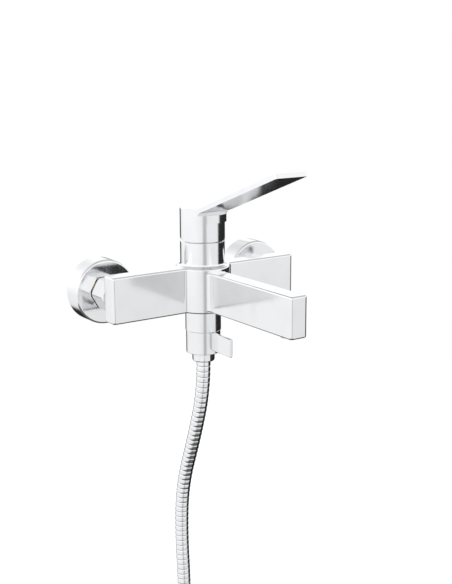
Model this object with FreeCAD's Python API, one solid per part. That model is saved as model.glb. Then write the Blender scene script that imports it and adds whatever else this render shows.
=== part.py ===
import FreeCAD, Part
import math
import os

# Wall mounted bath faucet with a lever cartridge, a rotary diverter and a shower hose.
# Frame: origin on the wall, midway between the two wall connections. +X runs along the bar,
# +Y goes into the wall and +Z is up, so the whole faucet stands in front of Y = 0. Millimetres.

V = FreeCAD.Vector

# Driving dimensions: where the faucet meets the wall
wall_spacing = 150.0
inlet_spacing = 177.0
wall_thread_r = 10.48
wall_thread_length = 16.0
rosette_r = 31.0
rosette_depth = 20.7
rosette_wall = 1.4

# Driving dimensions: body casting
axis_y = -54.0
bar_length = 208.0
bar_height = 44.0
bar_thickness = 18.5
column_r = 26.25
tower_r = 21.75
tower_top = 45.8
spout_width = 18.0
spout_top = 18.0
spout_bottom = -20.0
spout_reach = 150.0
edge_r = 1.8
corner_r = 3.0
bar_blend_r = 4.5
spout_blend_r = 5.0
flare_r = 3.0

# Driving dimensions: cartridge, handle and lever
cartridge_r = 17.5
cartridge_seat = 14.0
pivot_z = 50.0
handle_gap = 0.6
handle_top = 78.0
handle_wall = 3.4
lever_width = 33.5
lever_slope_deg = 20.0
lever_thickness = 4.2
lever_reach = 137.5
lift_deg = 20.0

# Driving dimensions: diverter and hose
collar_r = 17.5
collar_length = 20.6
sleeve_r = 16.9
sleeve_length = 22.4
tab_reach = 48.3
tab_thickness = 3.0
tab_height = 18.2
hose_r = 7.0
coil_r = 75.0
whole_turns = 2
hose_nut_r = 11.2

# Clearances
thread_gap = 0.06
running_gap = 0.08
seal_gap = 0.05
loose_gap = 0.3

os.makedirs("parts", exist_ok=True)


def save(shape, name):
    if shape.ShapeType == "Compound" and len(shape.Solids) == 1:
        shape = shape.Solids[0]
    shape.exportStep("parts/" + name + ".step")


def rod(r, z0, z1, x=0.0, y=axis_y):
    """Upright cylinder; it stands on the tower's axis unless x and y say otherwise."""
    return Part.makeCylinder(r, z1 - z0, V(x, y, z0))


def tube(r_out, r_in, z0, z1, x=0.0, y=axis_y):
    return rod(r_out, z0, z1, x, y).cut(rod(r_in, z0 - 1, z1 + 1, x, y))


def rod_y(r, y0, y1, x, z=0.0):
    """Cylinder along the wall's normal, from y0 out to the larger y1."""
    return Part.makeCylinder(r, y1 - y0, V(x, y0, z), V(0, 1, 0))


def tube_y(r_out, r_in, y0, y1, x, z=0.0):
    return rod_y(r_out, y0, y1, x, z).cut(rod_y(r_in, y0 - 1, y1 + 1, x, z))


def block(x0, x1, y0, y1, z0, z1):
    return Part.makeBox(x1 - x0, y1 - y0, z1 - z0, V(x0, y0, z0))


def outline_face(edges):
    return Part.Face(Part.Wire([edge.toShape() for edge in edges]))


def line(a, b):
    return Part.LineSegment(a, b)


def arc(a, middle, b):
    return Part.Arc(a, middle, b)


def on_circle(centre, toward_a, toward_b, r):
    """Point of a circle halfway between the directions to two other points."""
    a = (toward_a - centre).normalize()
    b = (toward_b - centre).normalize()
    return centre + (a + b).normalize() * r


def round_edges(solid, radius, wanted):
    return solid.makeFillet(radius, [edge for edge in solid.Edges if wanted(edge)])


def upright(edge):
    ends = [vertex.Point for vertex in edge.Vertexes]
    return len(ends) == 2 and abs(ends[0].x - ends[1].x) < 1e-6 and abs(ends[0].y - ends[1].y) < 1e-6


def hexagon_y(across_flats, y0, y1, x):
    """Hexagonal bar along Y with one pair of corners level."""
    r = across_flats / math.sqrt(3.0)
    turns = [math.radians(60 * i) for i in range(7)]
    corners = [V(x + r * math.cos(a), y0, r * math.sin(a)) for a in turns]
    return Part.Face(Part.makePolygon(corners)).extrude(V(0, y1 - y0, 0))


# ---------------------------------------------------------------- body casting
bar_half = bar_thickness / 2
bar_top = bar_height / 2
spout_half = spout_width / 2
bar_back = axis_y + bar_half
inlet_x = inlet_spacing / 2
inlet_bore_r = 8.6
inlet_bore_depth = 13.0
channel_r = 4.2
port_x = 8.5
port_y = 3.5
port_r = 3.4
mix_port_y = -8.5
mix_port_r = 3.8
cartridge_bore_r = cartridge_r + thread_gap * 2
nut_bore_r = cartridge_r + 1.2
nut_bore_bottom = 37.4
diverter_bore_r = 13.5
diverter_bore_top = -4.0
spout_channel_z = -9.0
aerator_r = 7.4
aerator_bore_r = aerator_r + thread_gap
aerator_length = 11.0
aerator_y = axis_y - spout_reach + 12.5


def body_prism():
    """Bar and column as one outline, with the column blended into the bar's faces."""
    blend_x = math.sqrt((column_r + bar_blend_r) ** 2 - (bar_half + bar_blend_r) ** 2)
    bottom = -bar_top
    end = bar_length / 2
    edges = []
    for side in (-1, 1):
        face_y = axis_y + side * bar_half
        starts = []
        for hand in (side, -side):
            centre = V(hand * blend_x, axis_y + side * (bar_half + bar_blend_r), bottom)
            axis = V(0, axis_y, bottom)
            on_bar = V(hand * blend_x, face_y, bottom)
            on_column = axis + (centre - axis) * (column_r / (column_r + bar_blend_r))
            middle = on_circle(centre, on_bar, on_column, bar_blend_r)
            edges.append(line(V(hand * end, face_y, bottom), on_bar))
            edges.append(arc(on_bar, middle, on_column))
            starts.append(on_column)
        edges.append(arc(starts[0], V(0, axis_y + side * column_r, bottom), starts[1]))
    for hand in (-1, 1):
        edges.append(line(V(hand * end, axis_y - bar_half, bottom), V(hand * end, axis_y + bar_half, bottom)))
    wire = Part.Wire(Part.__sortEdges__([edge.toShape() for edge in edges]))
    solid = Part.Face(wire).extrude(V(0, 0, bar_height))
    at_end = lambda edge: upright(edge) and abs(abs(edge.Vertexes[0].X) - end) < 1e-6
    solid = round_edges(solid, corner_r, at_end)
    level = lambda edge: not upright(edge) and abs(edge.BoundBox.ZLength) < 1e-6
    return round_edges(solid, edge_r, level)


def spout_prism():
    """Flat upright spout, blended into the column."""
    z = spout_bottom
    axis = V(0, axis_y, z)
    reach = axis_y - spout_reach
    blend_y = math.sqrt((column_r + spout_blend_r) ** 2 - (spout_half + spout_blend_r) ** 2)
    edges = []
    for hand in (-1, 1):
        centre = V(hand * (spout_half + spout_blend_r), axis_y - blend_y, z)
        on_column = axis + (centre - axis) * (column_r / (column_r + spout_blend_r))
        on_spout = V(hand * spout_half, axis_y - blend_y, z)
        edges.append(line(axis, on_column))
        edges.append(arc(on_column, on_circle(centre, on_column, on_spout, spout_blend_r), on_spout))
        edges.append(line(on_spout, V(hand * spout_half, reach, z)))
    edges.append(line(V(-spout_half, reach, z), V(spout_half, reach, z)))
    wire = Part.Wire(Part.__sortEdges__([edge.toShape() for edge in edges]))
    solid = Part.Face(wire).extrude(V(0, 0, spout_top - spout_bottom))
    at_end = lambda edge: upright(edge) and abs(edge.Vertexes[0].Y - reach) < 1e-6
    solid = round_edges(solid, corner_r, at_end)
    inside = axis_y - column_r * 0.9
    outer = lambda edge: abs(edge.BoundBox.ZLength) < 1e-6 and edge.BoundBox.YMin < inside and (
        edge.Vertexes[0].Point - V(0, axis_y, edge.Vertexes[0].Z)).Length > 1 and (
        edge.Vertexes[-1].Point - V(0, axis_y, edge.Vertexes[-1].Z)).Length > 1
    return round_edges(solid, edge_r, outer)


def tower_solid():
    """Tower above the bar, with a small concave flare where it lands on the column."""
    low = bar_top - 0.5
    a = V(tower_r - 1, 0, low)
    profile = [
        line(a, V(tower_r + flare_r, 0, low)),
        line(V(tower_r + flare_r, 0, low), V(tower_r + flare_r, 0, bar_top)),
        arc(V(tower_r + flare_r, 0, bar_top),
            V(tower_r + flare_r * (1 - math.sqrt(0.5)), 0, bar_top + flare_r * (1 - math.sqrt(0.5))),
            V(tower_r, 0, bar_top + flare_r)),
        line(V(tower_r, 0, bar_top + flare_r), V(tower_r - 1, 0, bar_top + flare_r)),
        line(V(tower_r - 1, 0, bar_top + flare_r), a),
    ]
    flare = outline_face(profile).revolve(V(0, 0, 0), V(0, 0, 1), 360)
    flare.translate(V(0, axis_y, 0))
    tower = rod(tower_r, 0, tower_top)
    high = [edge for edge in tower.Edges if edge.BoundBox.ZMin > tower_top - 0.1]
    rim = [edge for edge in high if edge.BoundBox.ZLength < 0.1]
    return tower.makeFillet(0.4, rim).fuse(flare)


body = body_prism().fuse([spout_prism(), tower_solid()]).removeSplitter()
body = body.cut(rod(cartridge_bore_r, cartridge_seat, tower_top + 1))
body = body.cut(rod(nut_bore_r, nut_bore_bottom, tower_top + 1))
body = body.cut(rod(diverter_bore_r, -bar_top - 1, diverter_bore_top))
body = body.cut(rod(mix_port_r, diverter_bore_top - 1, cartridge_seat + 1, y=axis_y + mix_port_y))
for side in (-1, 1):
    body = body.cut(rod_y(inlet_bore_r, bar_back - inlet_bore_depth, bar_back + 1, side * inlet_x))
    run = Part.makeCylinder(channel_r, inlet_x - port_x, V(side * port_x, axis_y, 0), V(side, 0, 0))
    body = body.cut(run)
    body = body.cut(rod(port_r, 0, cartridge_seat + 1, side * port_x, axis_y + port_y))
channel_length = spout_reach - 12.5
spout_channel = Part.makeCylinder(channel_r, channel_length, V(0, axis_y, spout_channel_z), V(0, -1, 0))
body = body.cut(spout_channel)
body = body.cut(rod(aerator_bore_r, spout_bottom - 1, spout_bottom + aerator_length, y=aerator_y))
save(body, "faucet_body")

# ---------------------------------------------------------------- wall unions, rosettes and inlets
outlet_thread_r = 13.2
union_end = -32.0
wall_x = wall_spacing / 2
eccentric_depth = 9.0
union_bore_r = 7.0
washer_thickness = 2.0
flange_thickness = 3.4
nut_flats = 29.5
nut_lip = 3.0
connector_r = inlet_bore_r - thread_gap
connector_bore_r = 6.4
filter_depth = 5.0


def s_union(side):
    """Eccentric union: wall thread on the wall's axis, outlet thread on the inlet's axis."""
    wall_part = rod_y(wall_thread_r, -1, wall_thread_length, side * wall_x)
    web = rod_y(outlet_thread_r, -eccentric_depth, -0.6, side * inlet_x)
    web = web.fuse(rod_y(wall_thread_r + 1.2, -eccentric_depth, -0.6, side * wall_x))
    outlet = rod_y(outlet_thread_r, union_end, -eccentric_depth, side * inlet_x)
    solid = wall_part.fuse([web, outlet]).removeSplitter()
    solid = solid.cut(rod_y(union_bore_r, -eccentric_depth + 2, wall_thread_length + 1, side * wall_x))
    solid = solid.cut(rod_y(union_bore_r + 1.5, union_end - 1, -eccentric_depth + 4, side * inlet_x))
    return solid


def rosette(side):
    """Drawn cup: flat front with a round hole for the union, open at the wall."""
    x = side * inlet_x
    outer = rod_y(rosette_r, -rosette_depth, 0, x)
    front = [edge for edge in outer.Edges if abs(edge.BoundBox.YMax + rosette_depth) < 0.1]
    outer = outer.makeFillet(2.0, front)
    cup = outer.cut(rod_y(rosette_r - rosette_wall, -rosette_depth + rosette_wall, 1, x))
    return cup.cut(rod_y(outlet_thread_r + loose_gap, -rosette_depth - 1, 1, x))


def union_nut(side):
    x = side * inlet_x
    front = bar_back + 0.9
    back = -rosette_depth - 1.6
    crown = rod_y(nut_flats / 2 + 1.9, front, back, x)
    ends = [edge for edge in crown.Edges if edge.Length > 10 and edge.BoundBox.YLength < 0.1]
    solid = hexagon_y(nut_flats, front, back, x).common(crown.makeChamfer(1.0, ends))
    thread = rod_y(outlet_thread_r + thread_gap, front + nut_lip, back + 1, x)
    return solid.cut(thread).cut(rod_y(connector_r + 0.4, front - 1, back, x))


def inlet_connector(side):
    """Threaded tail of the body with the flange that the union nut pulls on."""
    x = side * inlet_x
    face = union_end - washer_thickness
    lip_face = bar_back + 0.9 + nut_lip
    tail = rod_y(connector_r, bar_back - inlet_bore_depth + 1, face, x)
    flange = rod_y(outlet_thread_r - 0.5, lip_face, face, x)
    bore = rod_y(connector_bore_r, bar_back - inlet_bore_depth, face + 1, x)
    pocket = rod_y(connector_bore_r + 1.2, face - filter_depth, face + 1, x)
    return tail.fuse(flange).removeSplitter().cut(bore).cut(pocket)


def inlet_filter(side):
    """Cup strainer that drops into the connector's mouth."""
    x = side * inlet_x
    face = union_end - washer_thickness
    r = connector_bore_r + 1.2 - thread_gap
    cup = tube_y(r, r - 0.8, face - filter_depth, face, x)
    mesh = rod_y(r, face - filter_depth, face - filter_depth + 0.8, x)
    holes = [rod_y(0.7, face - filter_depth - 1, face, x)]
    for ring_r, count in ((2.4, 6), (4.7, 12)):
        for i in range(count):
            a = math.radians(360.0 * i / count)
            hole_x = x + ring_r * math.cos(a)
            holes.append(rod_y(0.7, face - filter_depth - 1, face, hole_x, ring_r * math.sin(a)))
    return cup.fuse(mesh.cut(holes)).removeSplitter()


for side, hand in ((-1, "left"), (1, "right")):
    save(s_union(side), "s_union_" + hand)
    save(rosette(side), "rosette_" + hand)
    save(union_nut(side), "union_nut_" + hand)
    save(inlet_connector(side), "inlet_connector_" + hand)
    save(inlet_filter(side), "inlet_filter_" + hand)
    washer_start = union_end - washer_thickness
    washer = tube_y(outlet_thread_r - 0.6, union_bore_r + 0.5, washer_start, union_end, side * inlet_x)
    save(washer, "inlet_washer_" + hand)

# ---------------------------------------------------------------- cartridge
seal_height = 1.4
base_bottom = cartridge_seat + seal_height
base_top = base_bottom + 4.0
fixed_disc_top = base_top + 3.4
moving_disc_bottom = fixed_disc_top + 0.02
moving_disc_top = moving_disc_bottom + 3.4
disc_r = 10.4
ball_drop = 16.0
ball_z = pivot_z - ball_drop
ball_r = 3.4
carrier_top = ball_z + 1.2
shoulder_z = nut_bore_bottom + 0.4
neck_r = 12.2
neck_top = pivot_z + 3.5
turner_r = 9.6
turner_bottom = carrier_top + 0.8
stem_half = 3.5
stem_top = handle_top - 6.0
pin_r = 1.3
housing_inner_r = cartridge_r - 1.1
ports = [(-port_x, port_y, port_r), (port_x, port_y, port_r), (0.0, mix_port_y, mix_port_r)]


def with_ports(solid, z0, z1, grow=0.0):
    return solid.cut([rod(r + grow, z0 - 1, z1 + 1, x, axis_y + y) for x, y, r in ports])


seals = [tube(r + 1.6, r, cartridge_seat, base_bottom, x, axis_y + y) for x, y, r in ports]
save(Part.makeCompound(seals), "cartridge_seals")
base = rod(housing_inner_r - seal_gap, base_bottom, base_top)
save(with_ports(base, base_bottom, base_top), "cartridge_base")
save(with_ports(rod(housing_inner_r - 0.4, base_top, fixed_disc_top), base_top, fixed_disc_top), "fixed_disc")

moving_disc = rod(disc_r, moving_disc_bottom, moving_disc_top)
mixing_pocket = block(-5.4, 5.4, axis_y - 8.2, axis_y + 2.6, moving_disc_bottom - 1, moving_disc_bottom + 1.6)
save(moving_disc.cut(round_edges(mixing_pocket, 2.0, upright)), "moving_disc")

carrier = rod(disc_r, moving_disc_top, moving_disc_top + 2.4)
carrier = carrier.fuse(rod(6.6, moving_disc_top + 2.0, carrier_top))
socket = rod(ball_r + running_gap, ball_z - ball_r - 0.3, carrier_top + 1)
save(carrier.removeSplitter().cut(socket), "disc_carrier")

housing = rod(cartridge_r, base_bottom, shoulder_z)
housing = housing.fuse(rod(neck_r, shoulder_z - 1, neck_top)).removeSplitter()
housing = housing.cut(rod(housing_inner_r, base_bottom - 1, shoulder_z - 2.2))
housing = housing.cut(rod(turner_r + running_gap, base_bottom, neck_top + 1))
save(housing, "cartridge_housing")

stem_sweep = ball_drop * math.sin(math.radians(lift_deg))
slot_half = stem_half + 0.35
turner = rod(turner_r, turner_bottom, neck_top)
slot_front = axis_y - stem_half - stem_sweep - 1.2
slot = block(-slot_half, slot_half, slot_front, axis_y + 7.6, turner_bottom - 1, neck_top + 1)
turner = turner.cut(slot)
turner = turner.cut(Part.makeCylinder(pin_r + seal_gap, 30, V(-15, axis_y, pivot_z), V(1, 0, 0)))
save(turner, "cartridge_turner")
pin_half = turner_r - 0.3
save(Part.makeCylinder(pin_r, 2 * pin_half, V(-pin_half, axis_y, pivot_z), V(1, 0, 0)), "pivot_pin")

stem = block(-stem_half, stem_half, axis_y - stem_half, axis_y + stem_half, ball_z + ball_r * 0.8, stem_top)
stem = round_edges(stem, 0.8, upright)
stem = stem.fuse(Part.makeSphere(ball_r, V(0, axis_y, ball_z))).removeSplitter()
stem = stem.cut(Part.makeCylinder(pin_r + running_gap, 30, V(-15, axis_y, pivot_z), V(1, 0, 0)))
save(stem, "control_stem")

ring_top = shoulder_z + 5.2
ring_nut = tube(nut_bore_r - thread_gap, neck_r + 0.4, shoulder_z, ring_top)
slots = []
for i in range(6):
    notch = block(-1.6, 1.6, axis_y + neck_r - 0.5, axis_y + neck_r + 3.4, ring_top - 2.6, ring_top + 1)
    notch.rotate(V(0, axis_y, 0), V(0, 0, 1), 60.0 * i)
    slots.append(notch)
save(ring_nut.cut(slots), "cartridge_nut")

# Dome: a ball shell about the handle's pivot, so it stays clear as the handle tips
dome_r = nut_bore_r - 1.7
dome_wall = 1.3
dome_foot = ring_top + 0.2
dome = Part.makeSphere(dome_r, V(0, axis_y, pivot_z))
dome = dome.common(rod(dome_r + 1, tower_top - 0.6, pivot_z + 10.0))
dome = dome.fuse(rod(nut_bore_r - thread_gap, dome_foot, tower_top - 0.3)).removeSplitter()
hollow = Part.makeSphere(dome_r - dome_wall, V(0, axis_y, pivot_z))
hollow = hollow.fuse(rod(dome_r - dome_wall - 0.4, dome_foot - 1, pivot_z))
dome = dome.cut(hollow)
stem_path = block(-slot_half - 0.6, slot_half + 0.6, axis_y - 6.2, axis_y + 11.5, pivot_z + 5, pivot_z + 20)
save(dome.cut(stem_path), "cover_dome")

# ---------------------------------------------------------------- handle with its lever
handle_bottom = tower_top + handle_gap
cavity_r = tower_r - handle_wall
cavity_top = pivot_z + dome_r + 1.2
chin_r = tower_r + 1.9
chin_bottom = 64.8
chin_top = 72.4
lever_half = lever_width / 2
notch_y = axis_y - 16.2
slope = math.tan(math.radians(lever_slope_deg))
lever_end = axis_y - lever_reach


def lever_solid():
    """Flat lever: its underside leaves the notch on a small arc, then climbs at one angle."""
    run = lever_reach - 24.0
    under_a = V(-lever_half, lever_end + run, 76.9)
    under_b = V(-lever_half, lever_end, 76.9 + run * slope)
    normal = V(0, math.sin(math.radians(lever_slope_deg)), math.cos(math.radians(lever_slope_deg)))
    upper_b = under_b + normal * lever_thickness
    top_y = upper_b.y + (upper_b.z - handle_top) / slope
    root = V(-lever_half, notch_y, chin_top - 0.4)
    bend = V(-lever_half, notch_y - 3.1, 75.1)
    inner = axis_y - 6.0
    edges = [
        line(under_b, under_a),
        arc(under_a, bend, root),
        line(root, V(-lever_half, inner, chin_top - 0.4)),
        line(V(-lever_half, inner, chin_top - 0.4), V(-lever_half, inner, handle_top)),
        line(V(-lever_half, inner, handle_top), V(-lever_half, top_y, handle_top)),
        line(V(-lever_half, top_y, handle_top), upper_b),
        line(upper_b, under_b),
    ]
    solid = outline_face(edges).extrude(V(lever_width, 0, 0))
    tip = lambda edge: edge.BoundBox.YMax < lever_end + 3 and edge.BoundBox.XLength < 0.1
    solid = round_edges(solid, 2.2, lambda edge: tip(edge))
    return solid


def handle_solid():
    shell = rod(tower_r, handle_bottom, handle_top)
    rims = [edge for edge in shell.Edges if edge.BoundBox.ZLength < 0.1]
    shell = shell.makeFillet(0.5, rims)
    # lever-wide notch in front, from the chin's top up to the lever's underside
    notch = block(-lever_half, lever_half, axis_y - tower_r - 5, notch_y, chin_bottom, handle_top + 1)
    chin = rod(chin_r, chin_bottom, chin_top).common(
        block(-lever_half, lever_half, axis_y - chin_r, axis_y - 4, chin_bottom, chin_top))
    solid = shell.cut(notch).fuse([chin, lever_solid()]).removeSplitter()
    solid = solid.cut(rod(cavity_r, handle_bottom - 1, cavity_top - 5).fuse(
        Part.makeSphere(cavity_r, V(0, axis_y, cavity_top - cavity_r))))
    boss = block(-5.4, 5.4, axis_y - 5.4, axis_y + 5.4, pivot_z + dome_r - 4.6, cavity_top + 1)
    return solid.fuse(boss.common(rod(6.9, pivot_z, cavity_top + 1))).removeSplitter()


handle = handle_solid()
# the back of the skirt is cut away in a slope, so it can dip as the lever is lifted
relief_start = axis_y + 1.0
relief_rise = math.tan(math.radians(lift_deg))
relief_end = axis_y + tower_r + 2
relief = Part.Face(Part.makePolygon([
    V(-30, relief_start, handle_bottom - 1),
    V(-30, relief_start, handle_bottom),
    V(-30, relief_end, handle_bottom + (relief_end - relief_start) * relief_rise),
    V(-30, relief_end, handle_bottom - 1),
    V(-30, relief_start, handle_bottom - 1)])).extrude(V(60, 0, 0))
handle = handle.cut(relief)
stem_hole = block(-stem_half - seal_gap, stem_half + seal_gap, axis_y - stem_half - seal_gap,
                  axis_y + stem_half + seal_gap, pivot_z, stem_top + 0.4)
handle = handle.cut(stem_hole)
screw_z = stem_top - 4.0
screw_r = 2.5
screw_hole = rod_y(screw_r + thread_gap, axis_y + stem_half - 0.2, axis_y + tower_r + 1, 0, screw_z)
screw_y = axis_y + stem_half + seal_gap
plug_hole = rod_y(3.2, axis_y + tower_r - 2.6, axis_y + tower_r + 1, 0, screw_z)
handle = handle.cut(screw_hole).cut(plug_hole)
save(handle, "handle")

screw = rod_y(screw_r, screw_y, screw_y + 8.0, 0, screw_z)
key = hexagon_y(2.5, screw_y + 5.0, screw_y + 9.0, 0)
key.translate(V(0, 0, screw_z))
save(screw.cut(key), "handle_screw")
plug_face = axis_y + tower_r
plug = rod_y(3.2 - thread_gap, plug_face - 2.6, plug_face + 1, 0, screw_z)
plug = plug.common(rod(tower_r + 0.15, 50, handle_top))
save(plug, "screw_plug")

# ---------------------------------------------------------------- aerator
aerator_top = spout_bottom + aerator_length
aerator_wall = 1.0
housing_low = spout_bottom - 0.8
aerator = tube(aerator_r, aerator_r - aerator_wall, housing_low, aerator_top - 1.6, y=aerator_y)
aerator_rim = tube(aerator_r + 0.9, aerator_r - 1.8, housing_low, spout_bottom, y=aerator_y)
aerator = aerator.fuse(aerator_rim).removeSplitter()
save(aerator, "aerator_housing")
insert_r = aerator_r - aerator_wall - thread_gap
insert = rod(insert_r, spout_bottom + 0.4, aerator_top - 1.6, y=aerator_y)
cells = []
for i in range(-2, 3):
    for j in range(-2, 3):
        if i * i + j * j < 8:
            x = 2.2 * i
            y = aerator_y + 2.2 * j
            cells.append(block(x - 0.8, x + 0.8, y - 0.8, y + 0.8, spout_bottom, aerator_top))
save(insert.cut(cells), "aerator_insert")
save(tube(aerator_r - 0.1, 4.6, aerator_top - 1.6, aerator_top, y=aerator_y), "aerator_seal")

# ---------------------------------------------------------------- diverter
collar_top = -bar_top
collar_bottom = collar_top - collar_length
sleeve_top = collar_bottom - loose_gap
sleeve_bottom = sleeve_top - sleeve_length
rotor_r = 12.2
rotor_bore_r = 9.4
rotor_top = -17.0
rotor_bottom = sleeve_top - 13.0
fixed_ring_top = rotor_top + 6.2
nipple_r = rotor_bore_r - running_gap
nipple_bore_r = 6.5
hose_thread_r = 10.4
nipple_bottom = sleeve_bottom - 3.0
nipple_top = rotor_top - 4.0
clip_z = rotor_bottom - 1.4

collar = tube(collar_r, rotor_r + running_gap, collar_bottom, collar_top)
spigot = tube(diverter_bore_r - thread_gap, rotor_r + running_gap, collar_top, rotor_top + 3.0)
save(collar.fuse(spigot).removeSplitter(), "diverter_collar")

turning_disc = rod(rotor_r - 0.2, rotor_top, rotor_top + 3.0)
turning_disc = turning_disc.cut(rod(3.0, rotor_top - 1, rotor_top + 4, 5.4))
turning_disc = turning_disc.cut(rod(3.0, rotor_top - 1, rotor_top + 4, -5.4))
save(turning_disc, "diverter_turning_disc")
fixed_ring = rod(diverter_bore_r - thread_gap, rotor_top + 3.02, fixed_ring_top)
fixed_ring = fixed_ring.cut(rod(3.0, rotor_top + 2, fixed_ring_top + 1, y=axis_y + 5.4))
fixed_ring = fixed_ring.cut(rod(3.0, rotor_top + 2, fixed_ring_top + 1, y=axis_y - 5.4))
save(fixed_ring, "diverter_fixed_disc")

groove_z = [rotor_top - 8.0, rotor_top - 15.0]
rotor = tube(rotor_r, rotor_bore_r, rotor_bottom, rotor_top)
screw_mid = sleeve_top - 6.0
diverter_screw_r = 1.5
rotor = rotor.cut(rod_y(diverter_screw_r + seal_gap, axis_y + rotor_bore_r - 1, axis_y + 20, 0, screw_mid))
save(rotor, "diverter_rotor")

sleeve = tube(sleeve_r, rotor_r + seal_gap, rotor_bottom, sleeve_top)
sleeve = sleeve.fuse(tube(sleeve_r, hose_nut_r + 1.4, sleeve_bottom, rotor_bottom)).removeSplitter()
flat = [edge for edge in sleeve.Edges if edge.BoundBox.ZLength < 0.1]
rims = [edge for edge in flat if edge.BoundBox.XLength > 2 * sleeve_r - 0.1]
sleeve = sleeve.makeFillet(0.5, rims)
tab_end = axis_y - tab_reach
tab_root = axis_y - rotor_r - 1.5
tab_low = sleeve_top - tab_height
tab = block(-tab_thickness / 2, tab_thickness / 2, tab_end, tab_root, tab_low, sleeve_top)
outer = lambda edge: edge.BoundBox.YMin < tab_end + 1e-6 or edge.BoundBox.YLength > 20
tab = round_edges(tab, 0.9, outer)
sleeve = sleeve.fuse(tab).removeSplitter()
sleeve = sleeve.cut(rod_y(diverter_screw_r + seal_gap, axis_y + rotor_r - 1, axis_y + 20, 0, screw_mid))
save(sleeve, "diverter_sleeve")
div_screw = rod_y(diverter_screw_r, axis_y + rotor_bore_r + 0.4, axis_y + sleeve_r - 0.8, 0, screw_mid)
save(div_screw, "diverter_screw")

nipple = rod(nipple_r, nipple_bottom, nipple_top)
nipple = nipple.fuse(rod(hose_thread_r, nipple_bottom, clip_z - 1.6)).removeSplitter()
nipple = nipple.cut(rod(nipple_bore_r, nipple_bottom - 1, nipple_top + 1))
for z in groove_z:
    nipple = nipple.cut(tube(nipple_r + 1, nipple_r - 1.5, z - 1.1, z + 1.1))
clip_groove = tube(nipple_r + 1, nipple_r - 1.0, clip_z, clip_z + 1.2)
save(nipple.cut(clip_groove), "outlet_nipple")
rings = []
for z in groove_z:
    rings.append(tube(rotor_bore_r - seal_gap, nipple_r - 1.5 + seal_gap, z - 0.9, z + 0.9))
save(Part.makeCompound(rings), "diverter_seals")
clip = tube(11.4, nipple_r - 1.0 + seal_gap, clip_z + 0.1, clip_z + 1.1)
clip = clip.cut(block(-3.5, 3.5, axis_y + 2, axis_y + 14, clip_z - 1, clip_z + 2))
save(clip, "diverter_clip")

# ---------------------------------------------------------------- hose connection
lip = 3.0
ferrule_flange = 1.6
hose_washer_t = 1.8
undercut = 0.2
thread_start = lip + ferrule_flange + hose_washer_t
hose_start_z = nipple_bottom - thread_start
hose_nut_height = sleeve_bottom + 4.0 - hose_start_z


def turned(points):
    """Solid of revolution about Z from an outline of (radius, height) points."""
    corners = [V(r, 0, z) for r, z in points + points[:1]]
    return Part.Face(Part.makePolygon(corners)).revolve(V(0, 0, 0), V(0, 0, 1), 360)


def hose_fittings():
    """Nut, washer and ferrule of one hose end; the hose meets the ferrule at height 0."""
    bore = hose_thread_r + thread_gap
    nut = turned([(bore, hose_nut_height), (hose_nut_r, hose_nut_height), (hose_nut_r, lip + 0.2),
                  (hose_r + 2.4, 0), (hose_r + 0.35, 0), (hose_r + 0.35, lip), (bore + undercut, lip),
                  (bore + undercut, thread_start), (bore, thread_start)])
    flange = lip + ferrule_flange
    ferrule = turned([(4.6, 0), (hose_r, 0), (hose_r, lip), (hose_thread_r - 0.3, lip),
                      (hose_thread_r - 0.3, flange), (4.6, flange)])
    washer = turned([(5.2, flange), (hose_thread_r - 0.4, flange),
                     (hose_thread_r - 0.4, thread_start), (5.2, thread_start)])
    return {"nut": nut, "ferrule": ferrule, "washer": washer}


for piece, solid in hose_fittings().items():
    solid.translate(V(0, axis_y, hose_start_z))
    save(solid, "hose_" + piece)

# Hose: a shallow S towards the wall, then a straight drop to the tied coil.
coil_centre = V(-6.0 + coil_r, -20.5, -455.0)
route = [
    V(0.0, axis_y, hose_start_z),
    V(0.0, axis_y, -105.0),
    V(-2.4, -39.4, -160.0),
    V(-5.8, -20.9, -217.0),
    V(-6.6, -18.6, -272.0),
    V(-5.4, -21.4, -334.0),
    V(-6.3, -20.1, -380.0),
    V(-6.0, -20.5, -424.0),
]


def rounded_path(points):
    """Straight runs joined by tangent arcs, each as large as its two runs allow."""
    edges = []
    last = points[0]
    for before, at, after in zip(points, points[1:], points[2:]):
        into = (at - before).normalize()
        out = (after - at).normalize()
        cut = 0.45 * min((at - before).Length, (after - at).Length)
        radius = cut / math.tan(into.getAngle(out) / 2)
        print("hose bend radius %.0f" % radius)
        start = at - into * cut
        end = at + out * cut
        centre = start + (out - into * into.dot(out)).normalize() * radius
        middle = centre + (at - centre).normalize() * radius
        edges.append(line(last, start).toShape())
        edges.append(arc(start, middle, end).toShape())
        last = end
    edges.append(line(last, points[-1]).toShape())
    return Part.Wire(edges)


path = rounded_path(route)
section = Part.Wire(Part.makeCircle(hose_r, route[0], route[1] - route[0]))
hose_tube = path.makePipeShell([section], True, True)
if hose_tube.ShapeType != "Solid":
    hose_tube = Part.Solid(hose_tube)
swept = math.pi * hose_r ** 2 * path.Length
print("hose tube volume %.0f, section times length %.0f" % (hose_tube.Volume, swept))
save(hose_tube, "hose_tube")

# Coil: whole turns side by side, then a quarter turn in front that leaves level at the bottom.
hose_d = 2 * hose_r
tail_length = 56.0
coil_back = coil_centre.y + hose_r
coil_front = coil_back - whole_turns * hose_d
tail_y = coil_front - hose_r
tail_z = coil_centre.z - coil_r
quarter = 0.25
coiled = (whole_turns + quarter) * 2 * math.pi * coil_r
hose_length = path.Length + (route[-1].z - coil_centre.z) + coiled + tail_length
print("hose length %.0f" % hose_length)
coil = tube_y(coil_r + hose_r, coil_r - hose_r, coil_front, coil_back, coil_centre.x, coil_centre.z)
coil = coil.makeFillet(5.0, [edge for edge in coil.Edges if edge.Length > 100])
band_outline = [V(coil_r - hose_r, coil_front + 5.5, 0), V(coil_r + hose_r, coil_front + 5.5, 0),
                V(coil_r + hose_r, coil_front - hose_d, 0), V(coil_r - hose_r, coil_front - hose_d, 0)]
last_turn = Part.Face(Part.makePolygon(band_outline + band_outline[:1]))
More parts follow.
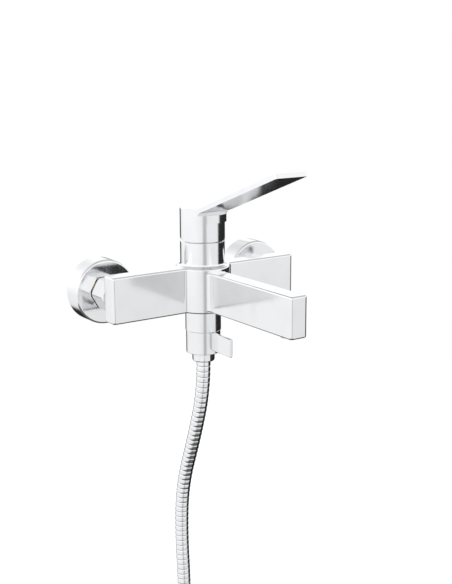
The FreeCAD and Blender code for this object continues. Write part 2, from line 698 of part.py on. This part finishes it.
last_turn = last_turn.revolve(V(0, 0, 0), V(0, 1, 0), 360.0 * quarter)
last_turn = round_edges(last_turn, 4.0, lambda edge: edge.BoundBox.YMax < coil_front - hose_d + 0.1
                        and edge.Length > 60)
last_turn.rotate(V(0, 0, 0), V(0, 1, 0), 90)
last_turn.translate(V(coil_centre.x, 0, coil_centre.z))
save(coil.fuse(last_turn).removeSplitter(), "hose_coil")
save(Part.makeCylinder(hose_r, tail_length, V(coil_centre.x, tail_y, tail_z), V(1, 0, 0)), "hose_tail")

tie_wall = 1.2
tie_width = 8.0
ties = []
for angle, turns in ((35.0, whole_turns), (215.0, whole_turns + 1)):
    depth = turns * hose_d
    outer = block(coil_r - hose_r - tie_wall, coil_r + hose_r + tie_wall, -depth - tie_wall, tie_wall,
                  -tie_width / 2, tie_width / 2)
    inner = block(coil_r - hose_r, coil_r + hose_r, -depth, 0, -tie_width, tie_width)
    tie = round_edges(outer, 1.0, upright).cut(inner)
    tie.rotate(V(0, 0, 0), V(0, 1, 0), -angle)
    tie.translate(V(coil_centre.x, coil_back, coil_centre.z))
    ties.append(tie)
save(Part.makeCompound(ties), "coil_ties")

for piece, solid in hose_fittings().items():
    solid.rotate(V(0, 0, 0), V(0, 1, 0), 90)
    solid.translate(V(coil_centre.x + tail_length, tail_y, tail_z))
    save(solid, "hose_end_" + piece)
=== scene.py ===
import math
import bmesh
import bpy
from mathutils import Matrix, Vector


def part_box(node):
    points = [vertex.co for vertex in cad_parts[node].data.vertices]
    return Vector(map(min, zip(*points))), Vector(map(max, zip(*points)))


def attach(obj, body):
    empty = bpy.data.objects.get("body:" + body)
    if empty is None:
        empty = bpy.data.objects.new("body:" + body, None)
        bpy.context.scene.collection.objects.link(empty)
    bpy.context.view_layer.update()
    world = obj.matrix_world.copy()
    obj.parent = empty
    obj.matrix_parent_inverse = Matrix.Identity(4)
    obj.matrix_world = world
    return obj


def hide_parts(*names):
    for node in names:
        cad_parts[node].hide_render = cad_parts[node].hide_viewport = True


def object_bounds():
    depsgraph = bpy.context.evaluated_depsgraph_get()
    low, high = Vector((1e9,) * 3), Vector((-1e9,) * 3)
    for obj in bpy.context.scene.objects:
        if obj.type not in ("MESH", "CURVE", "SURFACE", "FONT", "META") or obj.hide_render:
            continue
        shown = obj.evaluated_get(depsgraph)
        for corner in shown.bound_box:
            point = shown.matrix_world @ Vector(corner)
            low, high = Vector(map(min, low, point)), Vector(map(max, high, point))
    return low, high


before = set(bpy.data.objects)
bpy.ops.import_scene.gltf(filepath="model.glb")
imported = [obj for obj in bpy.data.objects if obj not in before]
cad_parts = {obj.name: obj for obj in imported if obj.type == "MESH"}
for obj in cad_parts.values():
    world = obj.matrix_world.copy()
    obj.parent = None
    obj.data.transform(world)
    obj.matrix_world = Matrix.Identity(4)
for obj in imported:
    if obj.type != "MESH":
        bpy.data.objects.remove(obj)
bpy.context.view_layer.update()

# ---- Camera
# A long lens a metre away, a little above the bar and to its left, looking down on the tower.
eye = Vector((-0.52536, -0.85037, 0.21041))
looks_at = Vector((0.0274, -0.05406, -0.00935))
roll = math.radians(-0.21)
ahead = (looks_at - eye).normalized()
level = ahead.cross(Vector((0, 0, 1))).normalized()
above = level.cross(ahead)
across = level * math.cos(roll) + above * math.sin(roll)
above = across.cross(ahead)
lens = bpy.data.cameras.new("studio_camera")
lens.lens = 61.64
lens.sensor_width = 36.0
lens.clip_start = 0.01
camera = bpy.data.objects.new("studio_camera", lens)
bpy.context.scene.collection.objects.link(camera)
turned = Matrix((across, above, -ahead)).transposed()
camera.matrix_world = Matrix.Translation(eye) @ turned.to_4x4()
bpy.context.scene.camera = camera


# ---- Chromed casting: body, spout, rosettes, nuts, handle, dome and diverter shell
# Cast and machined brass, buffed and plated with bright nickel and chrome. The plate is
# almost a mirror, with a faint waviness from buffing and a light film from handling.
class Shade:
    """A shader socket that can be used in Python expressions."""

    def __init__(self, tree, socket=None):
        self.tree = tree
        self.socket = socket

    def add(self, kind, settings={}, sockets={}, out=0):
        node = self.tree.nodes.new(kind)
        for key, value in settings.items():
            if key == "stops":
                ramp = node.color_ramp
                while len(ramp.elements) < len(value):
                    ramp.elements.new(0.5)
                for element, (place, tone) in zip(ramp.elements, value):
                    element.position = place
                    element.color = (*tone, 1) if isinstance(tone, tuple) else (tone, tone, tone, 1)
            else:
                setattr(node, key, value)
        for key, value in sockets.items():
            if isinstance(value, Shade):
                self.tree.links.new(value.socket, node.inputs[key])
            else:
                node.inputs[key].default_value = value
        return Shade(self.tree, node.outputs[out])

    def maths(self, operation, first, second):
        return self.add("ShaderNodeMath", {"operation": operation}, {0: first, 1: second})

    def __add__(self, other):
        return self.maths("ADD", self, other)

    def __sub__(self, other):
        return self.maths("SUBTRACT", self, other)

    def __rsub__(self, other):
        return self.maths("SUBTRACT", other, self)

    def __mul__(self, other):
        return self.maths("MULTIPLY", self, other)

    def __truediv__(self, other):
        return self.maths("DIVIDE", self, other)

    __radd__ = __add__
    __rmul__ = __mul__


def new_finish(name, metallic=0.0, **fixed):
    """An empty node material; fixed values go straight onto its Principled sockets."""
    material = bpy.data.materials.new(name)
    material.use_nodes = True
    shader = material.node_tree.nodes["Principled BSDF"]
    shader.inputs["Metallic"].default_value = metallic
    for key, value in fixed.items():
        shader.inputs[key.replace("_", " ")].default_value = value
    return Shade(material.node_tree), shader, material


def connect(start, shader, **feeds):
    for key, value in feeds.items():
        start.tree.links.new(value.socket, shader.inputs[key.replace("_", " ")])


def grain(start, scale, detail=2.0, stretch=(1, 1, 1)):
    """Noise in the object's own metres, so it has one size on every piece."""
    place = start.add("ShaderNodeTexCoord", out=3)
    shaped = start.add("ShaderNodeMapping", {}, {"Vector": place, "Scale": stretch})
    return start.add("ShaderNodeTexNoise", {}, {"Vector": shaped, "Scale": scale, "Detail": detail})


def chrome_finish(name, tint, base_roughness):
    start, shader, material = new_finish(name, metallic=1.0)
    film = grain(start, 55.0, 4.0)
    smudge = start.add("ShaderNodeValToRGB", {"stops": [(0.45, 0.0), (0.75, 1.0)]}, {0: film})
    rough = smudge * 0.035 + base_roughness
    dull = tuple(0.965 * c for c in tint)
    colour = start.add("ShaderNodeMix", {"data_type": "RGBA"},
                       {0: smudge, 6: (*tint, 1), 7: (*dull, 1)}, out=2)
    buffing = grain(start, 34.0, 1.0)
    bump = start.add("ShaderNodeBump", {}, {"Strength": 0.02, "Distance": 0.0002, "Height": buffing})
    connect(start, shader, Base_Color=colour, Roughness=rough, Normal=bump)
    return material


def wear(material, *nodes):
    for node in nodes:
        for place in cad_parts[node].material_slots:
            place.material = material


chrome = chrome_finish("bright_chrome", (0.90, 0.905, 0.915), 0.13)
wear(chrome, "faucet_body", "rosette_left", "rosette_right", "union_nut_left", "union_nut_right", "handle",
     "cover_dome", "diverter_collar", "diverter_sleeve", "aerator_housing", "screw_plug")

# ---- Shower hose
# A strip-wound metal hose: chromed steel strip locked turn to turn round a rubber core, so it
# shows as narrow rounded rings. It falls from the diverter, and the spare length is a tied coil.
hose_r = 0.007
ring_pitch = 0.0055
exit_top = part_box("hose_tube")[1][2]
hang = [
    (0.0, -0.054, exit_top),
    (0.0, -0.054, -0.105),
    (-0.0024, -0.0394, -0.160),
    (-0.0058, -0.0209, -0.217),
    (-0.0066, -0.0186, -0.272),
    (-0.0054, -0.0214, -0.334),
    (-0.0063, -0.0201, -0.380),
    (-0.006, -0.0205, -0.424),
]
coil_r = 0.075
coil_x, coil_y, coil_z = -0.006 + coil_r, -0.0205, -0.455
turns = 2.25
points_per_turn = 24
route = list(hang)
for i in range(int(turns * points_per_turn) + 1):
    whole, part = divmod(i / points_per_turn, 1.0)
    across_over = max(0.0, (part - 5 / 6) * 6)
    a = math.pi + 2 * math.pi * i / points_per_turn
    drawn = coil_r / 0.9915
    route.append((coil_x + drawn * math.cos(a), coil_y - 2 * hose_r * (whole + across_over),
                  coil_z + drawn * math.sin(a)))
route[-1] = (coil_x, route[-1][1], coil_z - coil_r)
route.append((coil_x + 0.028, route[-1][1], coil_z - coil_r))
route.append((coil_x + 0.056, route[-1][1], coil_z - coil_r))

line = bpy.data.curves.new("hose_line", "CURVE")
line.dimensions = "3D"
line.resolution_u = 24
spline = line.splines.new("NURBS")
spline.points.add(len(route) - 1)
for point, place in zip(spline.points, route):
    point.co = (*place, 1.0)
spline.order_u = 3
spline.use_endpoint_u = True
bare = bpy.data.objects.new("hose_line", line)
bpy.context.scene.collection.objects.link(bare)
bpy.context.view_layer.update()
followed = bpy.data.meshes.new_from_object(bare)
followed = [v.co.copy() for v in followed.vertices]
bpy.data.objects.remove(bare)


def along(points):
    """Points with the distance run and an untwisted frame at each."""
    side = (points[1] - points[0]).orthogonal().normalized()
    run = 0.0
    rows = []
    for i, point in enumerate(points):
        ahead_of = points[min(i + 1, len(points) - 1)] - points[max(i - 1, 0)]
        ahead_of.normalize()
        side = (side - ahead_of * side.dot(ahead_of)).normalized()
        if i:
            run += (point - points[i - 1]).length
        rows.append((run, point, side.copy(), ahead_of.cross(side)))
    return rows


def frame_at(rows, run, start=0):
    i = start
    while i < len(rows) - 2 and rows[i + 1][0] < run:
        i += 1
    (r0, p0, s0, t0), (r1, p1, s1, t1) = rows[i], rows[i + 1]
    share = min(1.0, max(0.0, (run - r0) / (r1 - r0)))
    return i, p0.lerp(p1, share), s0.lerp(s1, share), t0.lerp(t1, share)


def put(name, bm, material, body, smooth=True):
    """Turns a bmesh into a piece of the faucet with one finish, riding on one body."""
    bmesh.ops.recalc_face_normals(bm, faces=bm.faces)
    mesh = bpy.data.meshes.new(name)
    bm.to_mesh(mesh)
    bm.free()
    for face in mesh.polygons:
        face.use_smooth = smooth
    piece = bpy.data.objects.new(name, mesh)
    bpy.context.scene.collection.objects.link(piece)
    piece.data.materials.append(material)
    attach(piece, body)
    return piece


# one ring of strip: (share of the pitch, radius), from its groove up to its raised lower edge
ring_shape = [(0.0, 0.0062), (0.07, 0.00662), (0.2, 0.00675),
              (0.55, 0.00692), (0.86, 0.00705), (0.95, 0.00695)]
around = 28
rows = along(followed)
total = rows[-1][0]
ring_count = round(total / ring_pitch)
pitch = total / ring_count
hose = bmesh.new()
loops = []
at = 0
for i in range(ring_count * len(ring_shape) + 1):
    whole, share = divmod(i, len(ring_shape))
    if whole == ring_count:
        whole, share = ring_count - 1, None
    run = total if share is None else (whole + ring_shape[share][0]) * pitch
    radius = ring_shape[0][1] if share is None else ring_shape[share][1]
    at, centre, side, top = frame_at(rows, run, at)
    loops.append([hose.verts.new(centre + (side * math.cos(2 * math.pi * k / around)
                                           + top * math.sin(2 * math.pi * k / around)) * radius)
                  for k in range(around)])
for near, far in zip(loops, loops[1:]):
    for k in range(around):
        hose.faces.new((near[k], near[(k + 1) % around], far[(k + 1) % around], far[k]))
hose.faces.new(loops[0])
hose.faces.new(loops[-1])
hose_chrome = chrome_finish("hose_chrome", (0.86, 0.87, 0.885), 0.06)
hose_piece = put("shower_hose", hose, hose_chrome, "faucet")
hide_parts("hose_tube", "hose_coil", "hose_tail")

# ---- Hose nuts
# A chromed G1/2 union nut at each end of the hose, turned from round bar with shallow gripping
# flats round it. The upper one screws onto the diverter's outlet, the lower one takes the shower.
nut_flats_round = 12
steps_per_flat = 8
flat_depth = 0.00038
thread_r = 0.01046
undercut_r = 0.01066
mouth_r = hose_r + 0.00035
lip = 0.003
for name, node in (("upper_hose_nut", "hose_nut"), ("lower_hose_nut", "hose_end_nut")):
    low, high = (Vector(corner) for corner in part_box(node))
    size = high - low
    middle = (low + high) / 2
    nut_r = 0.5 * size.y
    upright = name == "upper_hose_nut"
    tall = size.z if upright else size.x
    # outline from the hose's end to the mouth: (radius, height, how deep the flats are there)
    outline = [(mouth_r, 0.0, 0), (nut_r - 0.0013, 0.0, 0), (nut_r - 0.0007, 0.0003, 0),
               (nut_r - 0.0001, 0.0010, 0.5), (nut_r, 0.0016, 1), (nut_r, tall - 0.0014, 1),
               (nut_r - 0.0001, tall - 0.0008, 0.5), (nut_r - 0.0007, tall, 0), (thread_r, tall, 0),
               (thread_r, 0.0064, 0), (undercut_r, 0.0063, 0), (undercut_r, lip, 0), (mouth_r, lip, 0)]
    nut = bmesh.new()
    steps = nut_flats_round * steps_per_flat
    half = steps_per_flat / 2
    rings = []
    for radius, height, depth in outline:
        ring = []
        for k in range(steps):
            a = 2 * math.pi * k / steps
            flat = 1 - abs((k % steps_per_flat - half) / half) ** 2
            r = radius - flat_depth * depth * flat
            if upright:
                spot = (middle.x + r * math.cos(a), middle.y + r * math.sin(a), low.z + height)
            else:
                spot = (low.x + height, middle.y + r * math.cos(a), middle.z + r * math.sin(a))
            ring.append(nut.verts.new(spot))
        rings.append(ring)
    for near, far in zip(rings, rings[1:] + rings[:1]):
        for k in range(steps):
            nut.faces.new((near[k], near[(k + 1) % steps], far[(k + 1) % steps], far[k]))
    piece = put(name, nut, chrome, "faucet")
    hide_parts(node)

# ---- Coil ties
# Nylon straps drawn round the turns of the spare hose, each with a moulded head.
strap_wall = 0.0011
strap_width = 0.008


def tie_finish():
    start, shader, material = new_finish("tie_nylon", Roughness=0.45)
    mottled = grain(start, 900.0, 3.0)
    colour = start.add("ShaderNodeMix", {"data_type": "RGBA"},
                       {0: mottled, 6: (0.80, 0.80, 0.79, 1), 7: (0.90, 0.90, 0.89, 1)}, out=2)
    ribs = start.add("ShaderNodeBump", {}, {"Strength": 0.25, "Distance": 0.0002, "Height": mottled})
    connect(start, shader, Base_Color=colour, Roughness=mottled * 0.2 + 0.35, Normal=ribs)
    return material


nylon = tie_finish()
strap = bmesh.new()
for angle, held_turns in ((35.0, 2), (215.0, 3)):
    out = Vector((math.cos(math.radians(angle)), 0, math.sin(math.radians(angle))))
    tangent = Vector((-out.z, 0, out.x))
    middle = Vector((coil_x, 0, coil_z)) + out * coil_r
    front = coil_y - 2 * hose_r * (held_turns - 1)
    ends = []
    for wall in (0.0, strap_wall):
        ring = []
        for centre_y, first in ((coil_y, 0), (front, 180)):
            for k in range(13):
                a = math.radians(first + 15 * k)
                ring.append(middle + out * (hose_r + wall) * math.cos(a)
                            + Vector((0, centre_y + (hose_r + wall) * math.sin(a), 0)))
        ends.append(ring)
    slices = [[strap.verts.new(p + tangent * w) for p in ring]
              for ring, w in ((ends[0], -0.5 * strap_width), (ends[1], -0.46 * strap_width),
                              (ends[1], 0.46 * strap_width), (ends[0], 0.5 * strap_width))]
    count = len(slices[0])
    for near, far in zip(slices, slices[1:] + slices[:1]):
        for k in range(count):
            strap.faces.new((near[k], near[(k + 1) % count], far[(k + 1) % count], far[k]))
    # moulded head on the outside of the bundle
    head = bmesh.ops.create_cube(strap, size=1.0)["verts"]
    for v in head:
        across_head, deep, high = v.co.x * 0.0028, v.co.y * 0.0085, v.co.z * 0.0092
        v.co = (middle + out * (hose_r + strap_wall + 0.0008 + across_head)
                + Vector((0, (coil_y + front) / 2 + deep, 0)) + tangent * high)
    bmesh.ops.bevel(strap, geom=[e for e in strap.edges if all(v in head for v in e.verts)],
                    offset=0.0006, segments=2, affect="EDGES")
ties = put("hose_ties", strap, nylon, "faucet", smooth=False)
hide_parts("coil_ties")

# ---- Bare brass: unions, connectors, ferrules, ring nut and rotor
# Turned from brass bar and left bare where water or a rosette hides it, so the lathe's
# fine rings and a light tarnish show.
start, shader, raw_brass = new_finish("turned_brass", metallic=1.0)
lathe = grain(start, 260.0, 2.0, (1, 14, 1))
tarnish = start.add("ShaderNodeValToRGB", {"stops": [(0.35, 0.0), (0.8, 1.0)]}, {0: grain(start, 70.0, 5.0)})
colour = start.add("ShaderNodeMix", {"data_type": "RGBA"},
                   {0: tarnish, 6: (0.83, 0.66, 0.36, 1), 7: (0.62, 0.47, 0.24, 1)}, out=2)
turning = start.add("ShaderNodeBump", {}, {"Strength": 0.2, "Distance": 0.0002, "Height": lathe})
connect(start, shader, Base_Color=colour, Roughness=tarnish * 0.2 + lathe * 0.1 + 0.2, Normal=turning)
wear(raw_brass, "s_union_left", "s_union_right", "inlet_connector_left", "inlet_connector_right",
     "cartridge_nut", "outlet_nipple", "hose_ferrule", "hose_end_ferrule", "diverter_rotor")

# ---- Stainless steel: filters, pivot pin, control stem, screws and clip
# Drawn wire and sheet, with fine lines along the drawing.
start, shader, stainless = new_finish("drawn_stainless", metallic=1.0)
drawn_lines = grain(start, 420.0, 3.0, (1, 1, 0.08))
colour = start.add("ShaderNodeMix", {"data_type": "RGBA"},
                   {0: drawn_lines, 6: (0.58, 0.58, 0.57, 1), 7: (0.72, 0.72, 0.71, 1)}, out=2)
scored = start.add("ShaderNodeBump", {}, {"Strength": 0.15, "Distance": 0.0001, "Height": drawn_lines})
connect(start, shader, Base_Color=colour, Roughness=drawn_lines * 0.15 + 0.24, Normal=scored)
wear(stainless, "inlet_filter_left", "inlet_filter_right", "pivot_pin", "control_stem", "handle_screw",
     "diverter_screw", "diverter_clip")

# ---- Ceramic discs
# Lapped alumina, white with a faint warm grain, so smooth that the faces seal by themselves.
start, shader, ceramic = new_finish("lapped_alumina", Coat_Roughness=0.05)
sintered = grain(start, 1200.0, 4.0)
colour = start.add("ShaderNodeMix", {"data_type": "RGBA"},
                   {0: sintered, 6: (0.86, 0.85, 0.81, 1), 7: (0.95, 0.94, 0.91, 1)}, out=2)
connect(start, shader, Base_Color=colour, Roughness=sintered * 0.1 + 0.1)
wear(ceramic, "fixed_disc", "moving_disc", "diverter_fixed_disc", "diverter_turning_disc")

# ---- Moulded plastic: cartridge parts and the aerator's honeycomb
# Acetal, injection moulded, pale and slightly waxy.
start, shader, acetal = new_finish("moulded_acetal", Subsurface_Weight=0.05)
flow = grain(start, 300.0, 3.0)
colour = start.add("ShaderNodeMix", {"data_type": "RGBA"},
                   {0: flow, 6: (0.74, 0.75, 0.76, 1), 7: (0.86, 0.87, 0.88, 1)}, out=2)
skin = start.add("ShaderNodeBump", {}, {"Strength": 0.1, "Distance": 0.0001, "Height": flow})
connect(start, shader, Base_Color=colour, Roughness=flow * 0.15 + 0.35, Normal=skin)
wear(acetal, "cartridge_housing", "cartridge_base", "cartridge_turner", "disc_carrier", "aerator_insert")

# ---- Seals and washers
# Moulded black rubber with a dusty bloom.
start, shader, seal_rubber = new_finish("seal_rubber")
bloom = grain(start, 500.0, 5.0)
colour = start.add("ShaderNodeMix", {"data_type": "RGBA"},
                   {0: bloom, 6: (0.018, 0.018, 0.02, 1), 7: (0.05, 0.05, 0.052, 1)}, out=2)
matt = start.add("ShaderNodeBump", {}, {"Strength": 0.3, "Distance": 0.0001, "Height": bloom})
connect(start, shader, Base_Color=colour, Roughness=bloom * 0.2 + 0.6, Normal=matt)
wear(seal_rubber, "cartridge_seals", "diverter_seals", "aerator_seal", "inlet_washer_left",
     "inlet_washer_right", "hose_washer", "hose_end_washer")

# ---- Studio: floor and light
# A pale seamless floor well below the coil, and a soft white tent. A wide black flag on the
# right, a narrow grey one in front and a dark foot give the plate its dark edges.
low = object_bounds()[0][2]
floor = bmesh.new()
bmesh.ops.create_circle(floor, cap_ends=True, segments=96, radius=6.0)
floor_mesh = bpy.data.meshes.new("studio_floor")
floor.to_mesh(floor_mesh)
floor.free()
floor_piece = bpy.data.objects.new("studio_floor", floor_mesh)
floor_piece.location = (0, 0, low - 1.3)
bpy.context.scene.collection.objects.link(floor_piece)
start, shader, paper = new_finish("studio_paper", Roughness=0.9, Emission_Strength=0.35,
                                  Emission_Color=(1, 1, 1, 1))
pulp = grain(start, 30.0, 4.0)
colour = start.add("ShaderNodeMix", {"data_type": "RGBA"},
                   {0: pulp, 6: (0.93, 0.93, 0.93, 1), 7: (0.96, 0.96, 0.96, 1)}, out=2)
connect(start, shader, Base_Color=colour)
floor_mesh.materials.append(paper)
floor_piece.visible_glossy = False

tent = bpy.data.worlds.new("studio_tent")
tent.use_nodes = True
bpy.context.scene.world = tent
tent.node_tree.nodes.clear()
start = Shade(tent.node_tree)
direction = start.add("ShaderNodeTexCoord", out=0)
x_part = start.add("ShaderNodeSeparateXYZ", {}, {0: direction})
y_part = Shade(tent.node_tree, x_part.socket.node.outputs[1])
z_part = Shade(tent.node_tree, x_part.socket.node.outputs[2])
flat_part = start.maths("POWER", x_part * x_part + y_part * y_part + 1e-6, 0.5)


def flag(azimuth, half_width, soft):
    """1 inside a dark flag that stands at this azimuth, 0 outside, with soft edges."""
    a = math.radians(azimuth)
    facing = (x_part * math.sin(a) - y_part * math.cos(a)) / flat_part
    inner = math.cos(math.radians(max(0.0, half_width - soft)))
    outer = math.cos(math.radians(half_width + soft))
    return start.add("ShaderNodeMapRange", {}, {0: facing, 1: outer, 2: inner, 3: 0.0, 4: 1.0})


big_flag = flag(119.0, 66.0, 4.0)
slim_flag = flag(-22.0, 8.5, 3.5)
left_wall = flag(-105.0, 55.0, 22.0)


def fade(start_z, end_z):
    """0 at one height of the sky, rising to 1 at the other."""
    return start.add("ShaderNodeMapRange", {}, {0: z_part, 1: start_z, 2: end_z, 3: 0.0, 4: 1.0})


flag_top = fade(0.06, -0.04)
sky_tones = [(0.375, 0.75), (0.575, 1.0), (0.68, 1.0), (0.86, 0.56), (1.0, 0.5)]
ceiling = start.add("ShaderNodeValToRGB", {"stops": sky_tones}, {0: fade(-1.0, 1.0)}) * 1.12
high_flag = flag(109.0, 44.0, 6.0)
over = fade(0.34, 0.42)
under = fade(0.78, 0.68)
below = fade(-0.5, -0.62)
tone = ceiling + left_wall * 0.13
tone = tone * (1 - big_flag * flag_top * 0.975) * (1 - slim_flag * flag_top * 0.42)
tone = tone * (1 - high_flag * over * under * 0.35) * (1 - below * 0.85)
seen = start.add("ShaderNodeLightPath", out=0)
tone = seen * 1.0 + (1 - seen) * tone
lit = start.add("ShaderNodeBackground", {}, {"Color": (1, 1, 1, 1), "Strength": tone})
end = tent.node_tree.nodes.new("ShaderNodeOutputWorld")
tent.node_tree.links.new(lit.socket, end.inputs[0])

for name, place, size, power in (("softbox_left", (-1.8, -1.4, 1.6), 1.6, 28.0),
                                 ("softbox_top", (0.2, -0.3, 2.2), 2.0, 30.0)):
    box_light = bpy.data.lights.new(name, "AREA")
    box_light.energy = power
    box_light.size = size
    lamp = bpy.data.objects.new(name, box_light)
    lamp.location = place
    lamp.rotation_euler = (Vector((0, -0.05, -0.1)) - Vector(place)).to_track_quat("-Z", "Y").to_euler()
    lamp.visible_glossy = False
    bpy.context.scene.collection.objects.link(lamp)
bpy.context.scene.view_settings.view_transform = "Standard"
